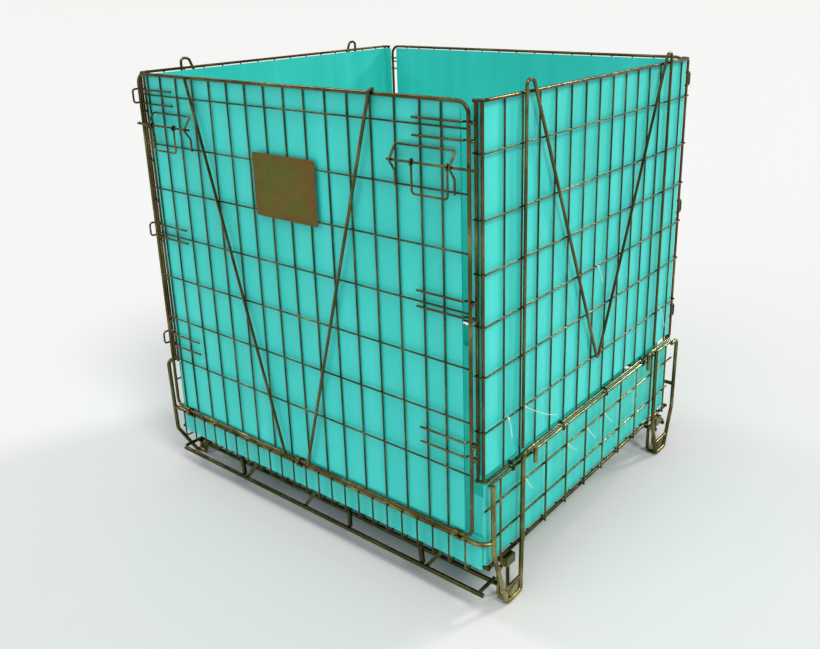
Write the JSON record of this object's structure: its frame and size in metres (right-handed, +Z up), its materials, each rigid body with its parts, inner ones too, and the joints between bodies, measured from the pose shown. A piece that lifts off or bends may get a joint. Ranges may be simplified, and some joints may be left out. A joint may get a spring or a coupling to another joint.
{
  "type": "collapsible wire mesh container",
  "caption": "Collapsible wire mesh container on stacking feet: drop gate with sliding latches, folding sides, fluted plastic liner sheets.",
  "frame": {"origin": "on the ground, in the middle of the footprint, latches and hooks included", "axes": "+Z up; +X to the right along the wide gate side; the gate faces -Y"},
  "size_m": [1.241, 1.1248, 1.2732],
  "materials": {
    "plated_wire": "yellow-chromated zinc plate, satin, olive gold",
    "liner_sheet": "fluted polypropylene sheet, turquoise, slightly translucent",
    "tie": "white nylon cable ties",
    "plate": "blank chromated plate, matt"
  },
  "bodies": {
    "base": {"cable_ties_base": "tie", "clip_bolts": "plated_wire", "floor_frame": "plated_wire", "floor_liner": "liner_sheet", "floor_wires_cross": "plated_wire", "floor_wires_long": "plated_wire", "foot_blocks": "plated_wire", "foot_crossbars": "plated_wire", "foot_front_left": "plated_wire", "foot_front_right": "plated_wire", "foot_inner_loops": "plated_wire", "foot_plates": "plated_wire", "foot_rear_left": "plated_wire", "foot_rear_right": "plated_wire", "front_runner": "plated_wire", "hinge_clips": "plated_wire", "hinge_rings_left": "plated_wire", "hinge_rings_right": "plated_wire", "lower_liner_front": "liner_sheet", "lower_liner_left": "liner_sheet", "lower_liner_rear": "liner_sheet", "lower_liner_right": "liner_sheet", "middle_runner": "plated_wire", "rear_runner": "plated_wire", "runner_gussets": "plated_wire", "sill_bars": "plated_wire", "sill_wires": "plated_wire", "skirt_cross_wires": "plated_wire", "skirt_rails": "plated_wire", "skirt_uprights": "plated_wire"},
    "gate": {"gate_brace": "plated_wire", "gate_cross_wires": "plated_wire", "gate_frame": "plated_wire", "gate_hooks": "plated_wire", "gate_liner": "liner_sheet", "gate_uprights": "plated_wire", "label_plate": "plate", "latch_guides": "plated_wire"},
    "back": {"back_cross_wires": "plated_wire", "back_frame": "plated_wire", "back_hooks": "plated_wire", "back_liner": "liner_sheet", "back_uprights": "plated_wire"},
    "side_right": {"cable_ties_side_right": "tie", "side_brace_right": "plated_wire", "side_cross_wires_right": "plated_wire", "side_liner_right": "liner_sheet", "side_posts_right": "plated_wire", "side_rails_right": "plated_wire", "side_uprights_right": "plated_wire"},
    "side_left": {"side_brace_left": "plated_wire", "side_cross_wires_left": "plated_wire", "side_liner_left": "liner_sheet", "side_posts_left": "plated_wire", "side_rails_left": "plated_wire", "side_uprights_left": "plated_wire"},
    "bolt_right": {"latch_bolt_right": "plated_wire"},
    "bolt_left": {"latch_bolt_left": "plated_wire"},
    "handle_right": {"latch_handle_right": "plated_wire"},
    "handle_left": {"latch_handle_left": "plated_wire"}
  },
  "joints": [
    {"name": "gate_hinge", "type": "hinge", "parent": "base", "child": "gate", "pos_m": [0, -0.5353, 0.217], "axis": [1, 0, 0], "range_deg": [0, 95]},
    {"name": "back_hinge", "type": "hinge", "parent": "base", "child": "back", "pos_m": [0, 0.5457, 0.217], "axis": [-1, 0, 0], "range_deg": [0, 95]},
    {"name": "side_right_hinge", "type": "hinge", "parent": "base", "child": "side_right", "pos_m": [0.5905, 0.0052, 0.366], "axis": [0, -1, 0], "range_deg": [0, 90]},
    {"name": "side_left_hinge", "type": "hinge", "parent": "base", "child": "side_left", "pos_m": [-0.5905, 0.0052, 0.366], "axis": [0, 1, 0], "range_deg": [0, 79]},
    {"name": "bolt_right_slide", "type": "slide", "parent": "gate", "child": "bolt_right", "axis": [-1, 0, 0], "range_m": [0, 0.042]},
    {"name": "bolt_left_slide", "type": "slide", "parent": "gate", "child": "bolt_left", "axis": [1, 0, 0], "range_m": [0, 0.042]},
    {"name": "handle_right_hinge", "type": "hinge", "parent": "bolt_right", "child": "handle_right", "pos_m": [0.477, -0.5533, 1.107], "axis": [-1, 0, 0], "range_deg": [-7, 160]},
    {"name": "handle_left_hinge", "type": "hinge", "parent": "bolt_left", "child": "handle_left", "pos_m": [-0.452, -0.5533, 1.107], "axis": [-1, 0, 0], "range_deg": [-7, 160]}
  ]
}
